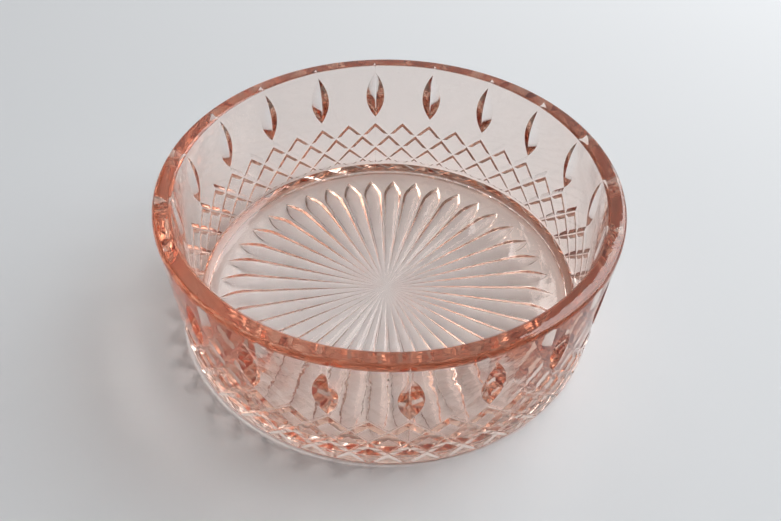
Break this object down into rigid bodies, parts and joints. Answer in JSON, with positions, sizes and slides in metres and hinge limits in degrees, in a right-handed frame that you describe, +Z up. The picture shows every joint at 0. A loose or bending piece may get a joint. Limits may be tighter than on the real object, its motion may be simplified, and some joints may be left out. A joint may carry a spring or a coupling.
{
  "type": "pressed glass dish",
  "caption": "Round open dish of thick pink pressed glass with upright lens cuts, a diamond band and a star under its floor.",
  "frame": {"origin": "centre of the foot, on the surface that the dish stands on", "axes": "+Z up along the dish's axis; +X through the middle of one upright cut"},
  "size_m": [0.1778, 0.1778, 0.06],
  "materials": {
    "pink_glass": "fire-polished, salmon pink, clear"
  },
  "bodies": {
    "root": {"bowl": "pink_glass"}
  },
  "joints": []
}
